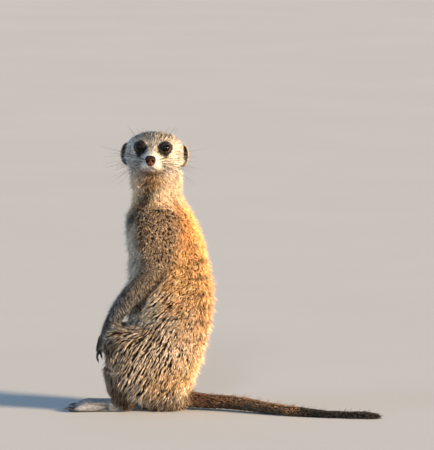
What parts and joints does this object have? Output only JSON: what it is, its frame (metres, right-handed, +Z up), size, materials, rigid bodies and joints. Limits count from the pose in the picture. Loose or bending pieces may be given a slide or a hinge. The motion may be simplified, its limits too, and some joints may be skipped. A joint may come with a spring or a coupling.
{
  "type": "meerkat",
  "caption": "Life-size still model of a meerkat sitting upright on its hind feet, hands hanging, head turned to its left, tail laid on the floor behind it.",
  "frame": {"origin": "on the flat under the rump, where the animal sits on the floor; the floor is z = 0", "axes": "+Z up; the chest and the feet point to -Y and the tail lies towards +Y; +X is the animal's left side, which its head is turned to"},
  "size_m": [0.1165, 0.3166, 0.2802],
  "materials": {
    "coat": "dense short fur, grizzled tan over dark brown",
    "pale_coat": "short pale cream and grey fur",
    "dark_coat": "short near-black fur",
    "claw_horn": "smooth dark horn",
    "nose_leather": "moist dark skin",
    "eye": "wet and glossy, near black"
  },
  "bodies": {
    "root": {"abdomen": "coat", "chest": "coat", "ear_left": "dark_coat", "ear_right": "dark_coat", "eye_left": "eye", "eye_right": "eye", "finger_claw_left_1": "claw_horn", "finger_claw_left_2": "claw_horn", "finger_claw_left_3": "claw_horn", "finger_claw_left_4": "claw_horn", "finger_claw_right_1": "claw_horn", "finger_claw_right_2": "claw_horn", "finger_claw_right_3": "claw_horn", "finger_claw_right_4": "claw_horn", "foot_left": "dark_coat", "foot_right": "dark_coat", "forearm_left": "coat", "forearm_right": "coat", "hand_left": "dark_coat", "hand_right": "dark_coat", "head": "pale_coat", "neck": "pale_coat", "nose": "nose_leather", "shank_left": "coat", "shank_right": "coat", "tail_base": "coat", "tail_middle": "coat", "tail_tip": "dark_coat", "thigh_left": "coat", "thigh_right": "coat", "toe_claw_left_1": "claw_horn", "toe_claw_left_2": "claw_horn", "toe_claw_left_3": "claw_horn", "toe_claw_left_4": "claw_horn", "toe_claw_right_1": "claw_horn", "toe_claw_right_2": "claw_horn", "toe_claw_right_3": "claw_horn", "toe_claw_right_4": "claw_horn", "upper_arm_left": "coat", "upper_arm_right": "coat"}
  },
  "joints": []
}
